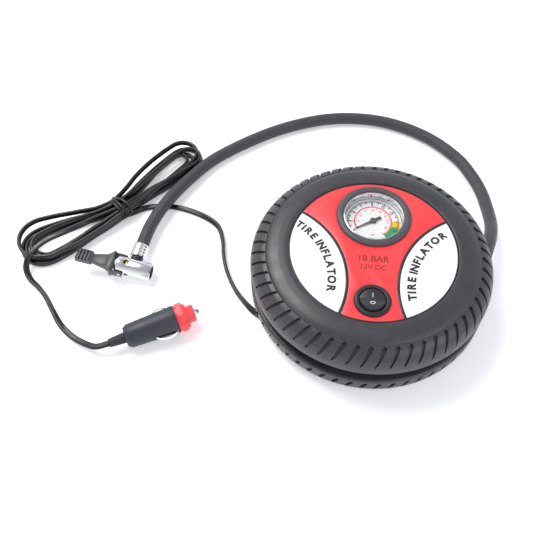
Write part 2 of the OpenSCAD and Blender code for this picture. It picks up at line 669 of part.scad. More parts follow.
// Bowed wire contact that stands proud of the barrel.
module plug_contact(side) color(silver) at_plug() translate([contact_x, side*2.7, 0]) intersection() {
    rotate_extrude($fn = 96) translate([9.5, 0]) circle(r = 0.6, $fn = 24);
    translate([-10, side > 0 ? 5 : -11, -1]) cube([20, 6, 2]);
}

// ---- parts ---------------------------------------------------------------

upper_housing();
lower_housing();
red_panel();
white_insert(-1);  // white_insert_left
white_insert(1);  // white_insert_right
panel_border();
gauge_bezel();
gauge_rim();
gauge_lens();
gauge_dial();
gauge_pointer();
gauge_case();
bourdon_movement();
switch_body();
rocker();
switch_terminals();
motor_can();
motor_end_cap();
motor_magnets();
motor_rotor();
motor_pinion();
drive_frame();
crank_gear();
crank_pin();
connecting_rod();
piston();
piston_ring();
color(silver) cylinder_part();  // cylinder
color(silver) head_part();  // cylinder_head
valve_reed();
outlet_block();
gauge_tube();
wires();
hose_gland();
air_hose();
hose_ferrule();
chuck_inlet();
chuck_barrel();
chuck_seal();
valve_depressor();
chuck_lever();
lever_pin();
cord_gland();
power_lead();
cord_hank();
cord_tie();
plug_lead();
plug_strain_relief();
plug_barrel();
plug_collar();
plug_tip();
plug_contact(1);  // plug_contact_left
plug_contact(-1);  // plug_contact_right
plug_fuse();
plug_spring();
housing_screws();
feet();
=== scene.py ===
import json
import math

import bmesh
import bpy
import numpy as np
from mathutils import Matrix, Vector


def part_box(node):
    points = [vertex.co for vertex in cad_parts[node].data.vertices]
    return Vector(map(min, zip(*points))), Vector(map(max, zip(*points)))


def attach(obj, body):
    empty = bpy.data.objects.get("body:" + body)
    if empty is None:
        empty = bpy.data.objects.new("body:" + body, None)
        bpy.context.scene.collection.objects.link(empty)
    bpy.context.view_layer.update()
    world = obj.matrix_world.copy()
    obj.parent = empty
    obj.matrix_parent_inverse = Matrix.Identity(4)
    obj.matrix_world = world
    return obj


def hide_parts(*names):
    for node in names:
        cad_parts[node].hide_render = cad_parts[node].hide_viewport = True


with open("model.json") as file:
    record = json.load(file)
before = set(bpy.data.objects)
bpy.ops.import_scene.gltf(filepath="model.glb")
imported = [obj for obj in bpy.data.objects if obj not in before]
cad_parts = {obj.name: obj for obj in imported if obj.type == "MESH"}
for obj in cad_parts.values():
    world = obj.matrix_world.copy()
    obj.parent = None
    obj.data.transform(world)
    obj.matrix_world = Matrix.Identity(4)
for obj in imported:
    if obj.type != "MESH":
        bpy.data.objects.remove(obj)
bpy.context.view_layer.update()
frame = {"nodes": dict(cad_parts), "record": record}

MM = 0.001
record = frame["record"]
BODY_OF = {node: body for body, nodes in record["behaviour"]["bodies"].items() for node in nodes}
SLOT_OF = {part["node"]: part["material_slot"] for part in record["subparts"]}

# ---- sizes, from the frame ------------------------------------------------

BODY_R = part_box("upper_housing")[1][0]
PANEL_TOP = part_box("red_panel")[1][2]
# The panel border piece ends in a dark ring round the red panel's edge, standing in as painted shade of the
# gap between panel and housing.
PANEL_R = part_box("panel_border")[1][1]
GROOVE_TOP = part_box("upper_housing")[0][2]
BASE_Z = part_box("lower_housing")[0][2]
GROOVE_BOTTOM = GROOVE_TOP - 10 * MM
DRUM_R = 65 * MM
WALL = 2.2 * MM
DRUM_INNER = DRUM_R - WALL

# The tread: slots round both housings, tapering from a rounded head to a point. The half width,
# the depth and what they lose on the way down are in millimetres.
SLOTS = 56
SLOT_LEAN = 5.5 * MM
SLOT_HALF = 1.5
SLOT_TAPER = 1.1
SLOT_HEAD_MIN = 0.3
SLOT_HEAD_SHARE = 0.12
SLOT_DEPTH = 1.9
SLOT_RISE = 0.8
SLOT_LIP = 0.12 * MM
SLOT_WALL_RUN = 0.22 * MM
SLOT_COLUMNS = 9
FINE_BAND = 10.3 * MM
RIM_BAND = 10 * MM

GAUGE = Vector((0, 26.3, 0)) * MM
DIAL_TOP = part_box("gauge_dial")[1][2]
ARC_X, ARC_Y = 77.5 * MM, -28 * MM
SWITCH = Vector((0, -39.7, 49)) * MM

HOSE_D = 9.2 * MM
CORD_W = 4.4 * MM
CORD_T = 2.6 * MM
CORD_EXIT = Vector((-63.5, -33.2, 3.9)) * MM
CORD_TURN = math.radians(157)
TIE = Vector((-186.5, 51, 0)) * MM
TIE_TURN = math.radians(45.5)

# The hank, in millimetres: its rise over the tie, and the run in which its halves bend apart.
TIE_LIFT = 1.7
HANK_BEND = math.radians(8.2)
HANK_BEND_RUN = 25.0
HANK_START = 0.12
HANK_STEPS = 7

# Routes in millimetres. The hose has the points of the CAD source. The two free lengths of
# the cord start and end as they do there, and in between they lead into the looped hank.
HOSE_ROUTE = [
    (48.9, -50.6, 24.5), (56, -42.6, 24.5), (62, -33.3, 24.5), (66.5, -23, 24.5),
    (70, -11, 24.5), (74, 4, 24.5), (79.5, 20, 24.4), (85, 37, 20.8), (88.7, 55, 14.2),
    (89, 74, 8.4), (86.6, 93, 5.5), (80.5, 110, 4.7), (70, 127.5, 4.7), (48, 147.5, 4.7),
    (19, 160.8, 4.7), (-11, 164.5, 4.7), (-43, 159.2, 4.7), (-80, 142, 4.7),
    (-118.5, 112, 5), (-138.5, 84.5, 6.4), (-152, 58, 7.8), (-158.9, 37, 8.2), (-162.1, 16.4, 8.35)]
# Each point of the cord also has a roll: 0 lying flat, 90 standing on edge.
LEAD_ROUTE = [
    (-63.5, -33.2, 3.9, 0), (-70, -30.2, 2.8, 10), (-76.5, -25.8, 1.7, 40), (-83, -19.8, 1.4, 75),
    (-91, -10, 1.4, 90), (-98.5, 4, 1.4, 90), (-103, 18, 1.4, 85), (-105.6, 32, 1.4, 75),
    (-110.5, 44, 1.4, 60), (-120.5, 52, 1.4, 35), (-134, 57.6, 1.4, 10), (-146, 60, 1.4, 0),
    (-159, 59.6, 1.4, 0), (-169, 56.6, 1.6, 30)]
PLUG_ROUTE = [
    (-222.5, 21, 10.6, 10), (-232.5, 12.5, 11, 0), (-239.5, 3, 9.4, 0), (-241.6, -6, 5.6, 10),
    (-237.5, -14, 2.6, 30), (-229.5, -20.5, 1.6, 50), (-222, -28, 1.4, 60), (-214.5, -38, 1.4, 50),
    (-206, -48.6, 1.4, 20), (-196.5, -56.3, 1.8, 0), (-187, -61.4, 3.4, 0),
    (-177, -65, 6.3, 0), (-168.1, -62.95, 8.45, 0)]


# ---- camera ---------------------------------------------------------------

CAMERA_SPOT = Vector((-39.9, -258.9, 408.4)) * MM
CAMERA_TURN = 5.28
CAMERA_RISE = 56.89


def aim_camera():
    turn, rise = math.radians(CAMERA_TURN), math.radians(CAMERA_RISE)
    back = Vector((math.sin(turn) * math.cos(rise), -math.cos(turn) * math.cos(rise), math.sin(rise)))
    right = Vector((math.cos(turn), math.sin(turn), 0))
    up = back.cross(right)
    camera = bpy.data.objects.new("camera", bpy.data.cameras.new("camera"))
    camera.data.lens = 44.5
    camera.data.sensor_width = 36
    camera.data.clip_start = 0.01
    axes = Matrix((right, up, back)).transposed().to_4x4()
    camera.matrix_world = Matrix.Translation(CAMERA_SPOT) @ axes
    bpy.context.scene.collection.objects.link(camera)
    bpy.context.scene.camera = camera


aim_camera()


# ---- materials ------------------------------------------------------------

class Finish:
    """A material whose node graph is grown a step at a time."""

    def __init__(self, name, colour, rough, metal=0.0, coat=0.0):
        self.material = bpy.data.materials.new(name)
        self.material.use_nodes = True
        self.nodes = self.material.node_tree.nodes
        self.links = self.material.node_tree.links
        self.shader = self.nodes["Principled BSDF"]
        self.set(self.shader, "Base Color", (*colour, 1))
        self.set(self.shader, "Roughness", rough)
        self.set(self.shader, "Metallic", metal)
        self.set(self.shader, "Coat Weight", coat)
        self.set(self.shader, "Coat Roughness", 0.12)
        self.material.diffuse_color = (*colour, 1)
        self.place = self.nodes.new("ShaderNodeTexCoord").outputs["Object"]
        self.height = None

    def set(self, node, socket, value):
        if hasattr(value, "links"):
            self.links.new(value, node.inputs[socket])
        else:
            node.inputs[socket].default_value = value

    def add(self, kind, **inputs):
        node = self.nodes.new(kind)
        for socket, value in inputs.items():
            self.set(node, socket.replace("_", " "), value)
        return node

    def math(self, operation, a, b=0.0):
        node = self.nodes.new("ShaderNodeMath")
        node.operation = operation
        self.set(node, 0, a)
        self.set(node, 1, b)
        return node.outputs[0]

    def noise(self, scale, detail=3.0, stretch=None):
        node = self.add("ShaderNodeTexNoise", Scale=scale, Detail=detail)
        place = self.place
        if stretch:
            mapping = self.nodes.new("ShaderNodeMapping")
            mapping.inputs["Scale"].default_value = stretch
            self.links.new(place, mapping.inputs["Vector"])
            place = mapping.outputs["Vector"]
        self.links.new(place, node.inputs["Vector"])
        return node.outputs["Fac"]

    def ramp(self, factor, low, high):
        node = self.nodes.new("ShaderNodeMapRange")
        self.set(node, "Value", factor)
        node.inputs["From Min"].default_value = 0.3
        node.inputs["From Max"].default_value = 0.7
        node.inputs["To Min"].default_value = low
        node.inputs["To Max"].default_value = high
        return node.outputs["Result"]

    def tint(self, factor, dark, light):
        """Colour runs from dark to light with the factor."""
        node = self.nodes.new("ShaderNodeMix")
        node.data_type = "RGBA"
        self.links.new(factor, node.inputs["Factor"])
        for socket in [s for s in node.inputs if s.name in "AB" and s.type == "RGBA"]:
            socket.default_value = (*dark, 1) if socket.name == "A" else (*light, 1)
        colour = [s for s in node.outputs if s.type == "RGBA"][0]
        self.links.new(colour, self.shader.inputs["Base Color"])
        return self

    def rough(self, factor, low, high):
        self.links.new(self.ramp(factor, low, high), self.shader.inputs["Roughness"])
        return self

    def bump(self, height, strength, distance=0.0002):
        node = self.nodes.new("ShaderNodeBump")
        node.inputs["Strength"].default_value = strength
        node.inputs["Distance"].default_value = distance
        self.links.new(height, node.inputs["Height"])
        if self.height is not None:
            self.links.new(self.height, node.inputs["Normal"])
        self.height = node.outputs["Normal"]
        self.links.new(self.height, self.shader.inputs["Normal"])
        return self


def shade(colour, factor):
    return tuple(min(1.0, c * factor) for c in colour)


def moulded(name, colour, rough, grain=900, depth=0.12, coat=0.0):
    """Moulded plastic: fine spark grain, faint flow marks and handling wear."""
    finish = Finish(name, colour, rough, coat=coat)
    marks = finish.noise(35, 4)
    finish.tint(finish.ramp(marks, 0, 1), shade(colour, 0.88), shade(colour, 1.1))
    finish.rough(finish.noise(140, 5), rough - 0.06, rough + 0.07)
    finish.bump(finish.noise(grain, 2), depth, 0.0001)
    finish.bump(finish.noise(60, 2), 0.05, 0.0004)
    return finish.material


def metal(name, colour, rough, stretch=(1, 1, 12), scratch=0.1):
    """Metal with drawn or turned lines and a slightly uneven polish."""
    finish = Finish(name, colour, rough, metal=1.0)
    lines = finish.noise(700, 3, stretch)
    finish.tint(finish.ramp(finish.noise(90, 4), 0, 1), shade(colour, 0.86), shade(colour, 1.08))
    finish.rough(lines, max(0.03, rough - 0.05), rough + 0.08)
    finish.bump(lines, scratch, 0.00004)
    finish.bump(finish.noise(120, 2), scratch * 0.5, 0.0002)
    return finish.material


def rubber(name, colour):
    finish = Finish(name, colour, 0.62)
    finish.tint(finish.ramp(finish.noise(50, 5), 0, 1), shade(colour, 0.8), shade(colour, 1.3))
    finish.rough(finish.noise(200, 4), 0.52, 0.74)
    finish.bump(finish.noise(1300, 2), 0.2, 0.0001)
    return finish.material


YARNS = 16
YARN_PITCH = 3.4 * MM


def braided(name, colour):
    """Hose cover: two sets of yarns crossing over and under round the hose, with a painted highlight on the
    yarn tops and painted shade between them.
    """
    finish = Finish(name, colour, 0.5)
    uv = finish.nodes.new("ShaderNodeUVMap")
    uv.uv_map = "wrap"
    split = finish.nodes.new("ShaderNodeSeparateXYZ")
    finish.links.new(uv.outputs["UV"], split.inputs["Vector"])
    around = finish.math("MULTIPLY", split.outputs["X"], 2 * math.pi * YARNS)
    along = finish.math("MULTIPLY", split.outputs["Y"], 2 * math.pi / YARN_PITCH)
    left = finish.math("SINE", finish.math("ADD", around, along))
    right = finish.math("SINE", finish.math("SUBTRACT", around, along))
    weave_and_painted_light = finish.math("MAXIMUM", left, right)
    weave_and_painted_light = finish.math("MULTIPLY", finish.math("ADD", weave_and_painted_light, 1.0), 0.5)
    # Painted highlight and painted shade: the yarns' height makes their tops lighter and the gaps between
    # them darker.
    finish.tint(weave_and_painted_light, shade(colour, 0.45), shade(colour, 1.5))
    finish.rough(finish.noise(300, 3), 0.36, 0.54)
    finish.bump(weave_and_painted_light, 0.55, 0.0004)
    finish.bump(finish.noise(2500, 2), 0.15, 0.0001)
    return finish.material


def cord_sheath(name, colour):
    finish = Finish(name, colour, 0.34)
    finish.tint(finish.ramp(finish.noise(70, 4), 0, 1), shade(colour, 0.8), shade(colour, 1.4))
    finish.rough(finish.noise(160, 4), 0.26, 0.46)
    finish.bump(finish.noise(500, 2), 0.07, 0.0001)
    return finish.material


def clear_glass(name):
    finish = Finish(name, (1, 1, 1), 0.04)
    finish.shader.inputs["Transmission Weight"].default_value = 1.0
    finish.shader.inputs["IOR"].default_value = 1.06
    finish.rough(finish.noise(60, 3), 0.01, 0.03)
    finish.bump(finish.noise(30, 2), 0.01, 0.0001)
    return finish.material


def printed(name, colour, rough=0.5):
    """Ink: a flat colour with the faint mottle of a pad print."""
    finish = Finish(name, colour, rough)
    finish.tint(finish.ramp(finish.noise(400, 3), 0, 1), shade(colour, 0.97), shade(colour, 1.03))
    finish.rough(finish.noise(500, 3), rough - 0.05, rough + 0.06)
    finish.bump(finish.noise(1500, 2), 0.04, 0.0001)
    return finish.material


CHARCOAL = (0.038, 0.038, 0.044)
FINISHES = {
    "housing": moulded("charcoal_moulding", CHARCOAL, 0.38, 1100, 0.1),
    "red_plastic": moulded("coral_red_plastic", (0.82, 0.05, 0.056), 0.42, 900, 0.05, coat=0.08),
    "white_plastic": moulded("white_plastic", (0.86, 0.86, 0.88), 0.36, 900, 0.04, coat=0.1),
    "black_gloss": moulded("black_satin", (0.022, 0.022, 0.026), 0.3, 1000, 0.05),
    "bright_trim": metal("bright_rim", (0.75, 0.76, 0.78), 0.12),
    "clear": clear_glass("gauge_window"),
    "dial_print": printed("dial_card", (0.78, 0.785, 0.79), 0.55),
    "pointer_grey": printed("pointer_paint", (0.07, 0.07, 0.075), 0.45),
    "black_plastic": moulded("black_matt", (0.026, 0.028, 0.042), 0.46, 1200, 0.14),
    "brass": metal("turned_brass", (0.78, 0.56, 0.24), 0.25, (1, 1, 1)),
    "steel": metal("zinc_steel", (0.6, 0.61, 0.64), 0.28, (1, 8, 1)),
    "magnet": rubber("ferrite", (0.07, 0.07, 0.075)),
    "rotor_core": metal("rotor_laminations", (0.55, 0.4, 0.28), 0.38, (14, 1, 1)),
    "alloy": metal("cast_alloy", (0.62, 0.63, 0.65), 0.42, (1, 1, 1), 0.3),
    "gear_nylon": moulded("natural_nylon", (0.78, 0.76, 0.7), 0.45, 700, 0.08),
    "rubber": rubber("black_rubber", (0.022, 0.022, 0.024)),
    "air_line": moulded("milky_tube", (0.62, 0.68, 0.72), 0.3, 500, 0.04),
    "wire_red": cord_sheath("red_wire", (0.5, 0.03, 0.03)),
    "hose_braid": braided("braided_cover", (0.03, 0.03, 0.037)),
    "chrome": metal("nickel_chrome", (0.84, 0.85, 0.86), 0.13, (1, 1, 1), 0.06),
    "lever_grey": moulded("grey_acetal", (0.06, 0.06, 0.067), 0.42, 900, 0.12),
    "cord_pvc": cord_sheath("black_cord_sheath", (0.007, 0.007, 0.01)),
    "ceramic": moulded("fuse_glass", (0.7, 0.74, 0.72), 0.2, 500, 0.03),
}
OWN_FINISH = {
    "gauge_bezel": moulded("soft_grey_black", (0.06, 0.063, 0.073), 0.5, 1000, 0.08),
    "switch_body": moulded("bezel_black", (0.012, 0.012, 0.015), 0.52, 1000, 0.08),
}
INK_BLACK = printed("black_ink", (0.012, 0.012, 0.014))
INK_RED = printed("red_ink", (0.72, 0.03, 0.04))
INK_DARK_RED = printed("dark_red_ink", (0.26, 0.012, 0.014))
INK_YELLOW = printed("yellow_ink", (0.85, 0.5, 0.02))
INK_GREEN = printed("green_ink", (0.01, 0.36, 0.12))
INK_WHITE = printed("white_ink", (0.8, 0.8, 0.8))


# ---- mesh helpers ---------------------------------------------------------

def keep(name, mesh, body, slot, material=None, stands_for=()):
    """Turns a mesh into a finished piece that rides on a body."""
    piece = bpy.data.objects.new(name, mesh)
    bpy.context.scene.collection.objects.link(piece)
    if material or not mesh.materials:
        mesh.materials.clear()
        mesh.materials.append(material or FINISHES[slot])
    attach(piece, body)
    if stands_for:
        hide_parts(*stands_for)
    return piece


def mesh_of(name, points, faces, smooth=True, crease=35):
    mesh = bpy.data.meshes.new(name)
    mesh.from_pydata([tuple(p) for p in points], [], faces)
    mesh.validate()
    if smooth:
        mesh.shade_smooth()
        mesh.set_sharp_from_angle(angle=math.radians(crease))
    return mesh


def evaluated(piece):
    """The plain mesh of an object with its modifiers or curve evaluated."""
    bpy.context.view_layer.update()
    graph = bpy.context.evaluated_depsgraph_get()
    return bpy.data.meshes.new_from_object(piece.evaluated_get(graph))


def joined(name, meshes):
    """One mesh made of several, each keeping its own material."""
    materials = []
    shape = bmesh.new()
    for mesh in meshes:
        first = len(shape.faces)
        shape.from_mesh(mesh)
        shape.faces.ensure_lookup_table()
        slots = []
        for material in mesh.materials:
            if material not in materials:
                materials.append(material)
            slots.append(materials.index(material))
        for face in shape.faces[first:]:
            face.material_index = slots[face.material_index] if slots else 0
    result = bpy.data.meshes.new(name)
    shape.to_mesh(result)
    shape.free()
    for material in materials:
        result.materials.append(material)
    return result


def steps_of(path):
    """Lengths of the steps between the points of a path."""
    return np.linalg.norm(np.diff(path[:, :3], axis=0), axis=1)


def run_of(path):
    """Distance along the path to each of its points."""
    return np.concatenate([[0], np.cumsum(steps_of(path))])


def smooth_route(points, step):
    """Points evenly spaced along a smooth curve through the given ones; extra columns ride along."""
    points = np.array(points, float)
    ends = np.vstack([2 * points[0] - points[1], points, 2 * points[-1] - points[-2]])
    fine = []
    for a, b, c, d in zip(ends, ends[1:], ends[2:], ends[3:]):
        for t in np.linspace(0, 1, 24, endpoint=False):
            fine.append(0.5 * (2 * b + (c - a) * t + (2 * a - 5 * b + 4 * c - d) * t ** 2
                               + (3 * b - a - 3 * c + d) * t ** 3))
    fine.append(points[-1])
    fine = np.array(fine)
    run = run_of(fine)
    stops = np.linspace(0, run[-1], max(2, round(run[-1] / step)) + 1)
    return np.column_stack([np.interp(stops, run, column) for column in fine.T])


def swept(name, path, outline, rolls=None):
    """A tube of the given outline along a path, with closed ends and a wrap map."""
    count, sides = len(path), len(outline)
    heading = np.gradient(path[:, :3], axis=0)
    heading /= np.linalg.norm(heading, axis=1)[:, None]
    side = np.cross(heading, (0, 0, 1))
    side /= np.linalg.norm(side, axis=1)[:, None]
    up = np.cross(side, heading)
    roll = np.radians(rolls if rolls is not None else np.zeros(count))
    across = np.cos(roll)[:, None] * side + np.sin(roll)[:, None] * up
    over = np.cos(roll)[:, None] * up - np.sin(roll)[:, None] * side
    outline = np.array(outline)
    rings = (path[:, None, :3] + outline[None, :, 0, None] * across[:, None]
             + outline[None, :, 1, None] * over[:, None])
    faces = []
    for i in range(count - 1):
        here, there = i * sides, (i + 1) * sides
        for k in range(sides):
            beside = (k + 1) % sides
            faces.append((here + k, here + beside, there + beside, there + k))
    faces += [tuple(range(sides))[::-1], tuple((count - 1) * sides + k for k in range(sides))]
    mesh = mesh_of(name, rings.reshape(-1, 3), faces, crease=60)
    run = run_of(path)
    wrap = mesh.uv_layers.new(name="wrap")
    for polygon in mesh.polygons[:-2]:
        i, k = divmod(polygon.index, sides)
        here, there, beside = i * sides, (i + 1) * sides, (k + 1) % sides
        spots = {here + k: (k, i), here + beside: (k + 1, i),
                 there + k: (k, i + 1), there + beside: (k + 1, i + 1)}
        for corner in polygon.loop_indices:
            u, v = spots[mesh.loops[corner].vertex_index]
            wrap.data[corner].uv = (u / sides, run[v])
    turned_out(mesh)
    return mesh


def turned_out(mesh):
    shape = bmesh.new()
    shape.from_mesh(mesh)
    bmesh.ops.recalc_face_normals(shape, faces=shape.faces)
    shape.to_mesh(mesh)
    shape.free()


def circle(radius, sides):
    return [(radius * math.cos(2 * math.pi * k / sides), radius * math.sin(2 * math.pi * k / sides))
            for k in range(sides)]


def twin_outline(width, thickness):
    """Outline of a flat two-core cord: two round cores side by side with a shallow waist."""
    core = thickness / 2
    centre = width / 2 - core
    waist = core * 0.78
    right = [(centre + core * math.cos(a), core * math.sin(a))
             for a in np.radians([-100, -65, -30, 0, 30, 65, 100])]
    left = [(-x, -y) for x, y in right]
    return right + [(0, waist)] + left + [(0, -waist)]


def node_copy(node, dissolve=0.4):
    """The CAD node's shape as a fresh mesh of clean flat faces."""
    source = frame["nodes"][node].data
    shape = bmesh.new()
    shape.from_mesh(source)
    bmesh.ops.remove_doubles(shape, verts=shape.verts, dist=2e-6)
    bmesh.ops.dissolve_limit(shape, angle_limit=math.radians(dissolve), verts=shape.verts,
                             edges=shape.edges)
    points = [v.co.copy() for v in shape.verts]
    faces = [[v.index for v in f.verts] for f in shape.faces]
    shape.free()
    return mesh_of(node + "_shape", points, faces, smooth=False)


def eased(node, width, crease=32):
    """The same CAD shape with its edges rounded over, as a moulding or turning has them."""
    piece = bpy.data.objects.new(node + "_eased", node_copy(node))
    bpy.context.scene.collection.objects.link(piece)
    bevel = piece.modifiers.new("edge", "BEVEL")
    bevel.width = width
    bevel.segments = 2
    bevel.limit_method = "ANGLE"
    bevel.angle_limit = math.radians(crease)
    mesh = evaluated(piece)
    bpy.data.objects.remove(piece)
    mesh.shade_smooth()
    mesh.set_sharp_from_angle(angle=math.radians(crease + 8))
    return keep(node + "_eased", mesh, BODY_OF[node], SLOT_OF[node], OWN_FINISH.get(node),
                stands_for=[node])


# ---- geometry nodes: copies turned round an axis --------------------------

def turning_tree():
    """Copies its input round the Z axis, welds the seams and gives it a finish."""
    tree = bpy.data.node_groups.new("turned_copies", "GeometryNodeTree")
    for name, kind in (("Geometry", "NodeSocketGeometry"), ("Count", "NodeSocketInt"),
                       ("Step", "NodeSocketFloat"), ("Weld", "NodeSocketFloat"),
                       ("Finish", "NodeSocketMaterial")):
        tree.interface.new_socket(name, in_out="INPUT", socket_type=kind)
    tree.interface.new_socket("Geometry", in_out="OUTPUT", socket_type="NodeSocketGeometry")
    source = tree.nodes.new("NodeGroupInput")
    points = tree.nodes.new("GeometryNodeMeshLine")
    points.inputs["Offset"].default_value = (0, 0, 0)
    index = tree.nodes.new("GeometryNodeInputIndex")
    angle = tree.nodes.new("ShaderNodeMath")
    angle.operation = "MULTIPLY"
    turn = tree.nodes.new("ShaderNodeCombineXYZ")
    copies = tree.nodes.new("GeometryNodeInstanceOnPoints")
    real = tree.nodes.new("GeometryNodeRealizeInstances")
    weld = tree.nodes.new("GeometryNodeMergeByDistance")
    paint = tree.nodes.new("GeometryNodeSetMaterial")
    out = tree.nodes.new("NodeGroupOutput")
    for a, b in ((source.outputs["Count"], points.inputs["Count"]),
                 (index.outputs["Index"], angle.inputs[0]), (source.outputs["Step"], angle.inputs[1]),
                 (angle.outputs[0], turn.inputs["Z"]), (points.outputs["Mesh"], copies.inputs["Points"]),
                 (source.outputs["Geometry"], copies.inputs["Instance"]),
                 (turn.outputs["Vector"], copies.inputs["Rotation"]),
                 (copies.outputs["Instances"], real.inputs["Geometry"]),
                 (real.outputs["Geometry"], weld.inputs["Geometry"]),
                 (source.outputs["Weld"], weld.inputs["Distance"]),
                 (weld.outputs["Geometry"], paint.inputs["Geometry"]),
                 (source.outputs["Finish"], paint.inputs["Material"]),
                 (paint.outputs["Geometry"], out.inputs["Geometry"])):
        tree.links.new(a, b)
    return tree


TURNING = turning_tree()
TURNING_SOCKETS = {item.name: item.identifier for item in TURNING.interface.items_tree
                   if item.in_out == "INPUT"}


def turned_copies(mesh, count, step, finish, weld=1e-6):
    piece = bpy.data.objects.new("pattern", mesh)
    bpy.context.scene.collection.objects.link(piece)
    modifier = piece.modifiers.new("copies", "NODES")
    modifier.node_group = TURNING
    for name, value in (("Count", count), ("Step", step), ("Weld", weld), ("Finish", finish)):
        modifier[TURNING_SOCKETS[name]] = value
    result = evaluated(piece)
    bpy.data.objects.remove(piece)
    return result


# ---- air hose -------------------------------------------------------------

def make_hose():
    path = smooth_route(np.array(HOSE_ROUTE) * MM, 2.5 * MM)
    mesh = swept("braided_hose", path, circle(HOSE_D / 2, 32))
    hose = keep("braided_hose", mesh, "inflator", "hose_braid", stands_for=["air_hose"])
    return hose, path


# ---- power cord with its tied hank ---------------------------------------

def hank_axis(far, s):
    """Middle of the hank at distance s from the tie, and the unit vector across it."""
    bend = HANK_BEND * min(s / HANK_BEND_RUN, 1.0)
    turn = TIE_TURN + (bend if far else math.pi - bend)
    turn_end = TIE_TURN + (HANK_BEND if far else math.pi - HANK_BEND)
    out = np.array((math.cos(turn), math.sin(turn)))
    return out * s, np.array((-math.sin(turn_end), math.cos(turn_end))) * (1 if far else -1)


def hank_loop(far, reach, radius, start, end, z_start, z_end, lean=0.0, bow=0.0):
    """One bight of the hank: out from the tie at offset start, round, and back at offset end."""
    side = 1 if start > end else -1
    points = []
    for s in np.linspace(HANK_START, 1, HANK_STEPS):
        ease = s * s * (3 - 2 * s)
        w = start + (side * radius - start) * ease + side * bow * math.sin(math.pi * s)
        points.append((s * reach, w, s))
    for a in np.radians([62, 32, 0, -32, -62]):
        points.append((reach + radius * math.cos(a), side * radius * math.sin(a), 1))
    for s in np.linspace(1, HANK_START, HANK_STEPS):
        ease = s * s * (3 - 2 * s)
        points.append((s * reach, end + (-side * radius - end) * ease, s))
    path = []
    for k, (s, w, out) in enumerate(points):
        middle, across = hank_axis(far, s)
        spot = middle + across * w
        swing = math.radians(lean) * out
        x = spot[0] * math.cos(swing) - spot[1] * math.sin(swing)
        y = spot[0] * math.sin(swing) + spot[1] * math.cos(swing)
        part = k / (len(points) - 1)
        z = z_start + (z_end - z_start) * part * part * (3 - 2 * part)
        lift = TIE_LIFT * math.exp(-(s / 14.0) ** 2)
        path.append((TIE.x / MM + x, TIE.y / MM + y, z + lift, 90))
    return path


def at_tie(offset, z):
    across = (-math.sin(TIE_TURN), math.cos(TIE_TURN))
    return [(TIE.x / MM + across[0] * offset, TIE.y / MM + across[1] * offset, z + TIE_LIFT, 90)]


def cord_route():
    """The whole cord: lead, ten bights of the hank in two layers, and the lead to the plug."""
    low, high = 2.35, 7.0
    route = list(LEAD_ROUTE) + [(-177.6, 49.8, 2.9, 70)] + at_tie(-7.2, low)
    # Of each bight: on the far side or not, how far it reaches, its radius, the two offsets and
    # the two heights it joins at the tie, its lean in degrees and its bow.
    bights = [
        (False, 60, 16.2, -7.2, 7.2, low, low, 0, 0), (True, 69, 12.6, 7.2, -4.3, low, low, 0, 1.0),
        (False, 61, 12.6, -4.3, 4.3, low, low, 0, 0), (True, 66, 9.4, 4.3, -1.4, low, low, 0, 0.5),
        (False, 58, 9.0, -1.4, 1.4, low, low, 0, 0), (True, 63, 8.2, 1.4, -7.2, low, high, 2.5, 0),
        (False, 59, 17.4, -7.2, 7.2, high, high, -4, 1.5), (True, 70, 12.0, 7.2, -4.3, high, high, 3.5, 4.5),
        (False, 58, 11.6, -4.3, 4.3, high, high, 3, 0), (True, 71, 8.8, 4.3, -1.4, high, high, -2, 0)]
    for far, reach, radius, start, end, z0, z1, lean, bow in bights:
        route += hank_loop(far, reach, radius, start, end, z0, z1, lean, bow) + at_tie(end, z1)
    route += [(-199.5, 40.2, 8.6, 80), (-211, 30.5, 9.4, 40)]
    return route + list(PLUG_ROUTE)


def make_cord():
    path = smooth_route(cord_route(), 2.4)
    rolls = path[:, 3]
    roll = np.radians(rolls)
    tall = np.hypot(np.sin(roll) * CORD_W / 2, np.cos(roll) * CORD_T / 2) / MM
    clear = 0.12
    path[:, 2] = np.maximum(path[:, 2], tall + clear)
    path[:, :3] *= MM
    mesh = swept("power_cord", path, twin_outline(CORD_W, CORD_T), rolls)
    cord = keep("power_cord", mesh, "inflator", "cord_pvc",
                stands_for=["power_lead", "cord_hank", "plug_lead"])
    return cord, path


def make_tie():
    """Wire tie: two wraps round the hank and two short twisted ends."""
    along = np.array((math.cos(TIE_TURN), math.sin(TIE_TURN), 0))
    across = np.array((-math.sin(TIE_TURN), math.cos(TIE_TURN), 0))
    middle = np.array((TIE.x / MM, TIE.y / MM, 6.5))
    path = [middle + across * 15.5 + along * 4 + np.array((0, 0, -4.3)),
            middle + across * 12.5 + along * 1 + np.array((0, 0, -2.5))]
    for turn in np.radians(np.arange(0, 781, 30)):
        path.append(middle + across * (9.9 * math.cos(turn)) + along * (-2.6 + 0.4 * turn)
                    + np.array((0, 0, 5.75 * math.sin(turn))))
    path += [middle - across * 0.5 + along * 4.4 + np.array((0, 0, 6.9)),
             middle - across * 8 + along * 5.4 + np.array((0, 0, 5.2)),
             middle - across * 12 + along * 5.0 + np.array((0, 0, 1.5))]
    path = smooth_route(np.array(path) * MM, 0.9 * MM)
    outline = [(1.05 * MM * x, 0.6 * MM * y) for x, y in circle(1, 10)]
    return keep("wire_tie", swept("wire_tie", path, outline), "inflator", "cord_pvc",
                stands_for=["cord_tie"])


hose, hose_path = make_hose()
cord, cord_path = make_cord()
tie = make_tie()


# ---- housings: tread wheels turned from one slot's width ------------------

def profile_rows(outline, coarse, fine):
    """Points along an outline, close together near the rim where the tread is."""
    outline = np.array(outline) * MM
    rows = [outline[0]]
    for a, b in zip(outline, outline[1:]):
        step = fine if min(a[0], b[0]) > BODY_R - FINE_BAND else coarse
        parts = max(1, round(float(np.linalg.norm(b - a)) / step))
        rows += [a + (b - a) * k / parts for k in range(1, parts + 1)]
    return np.array(rows)


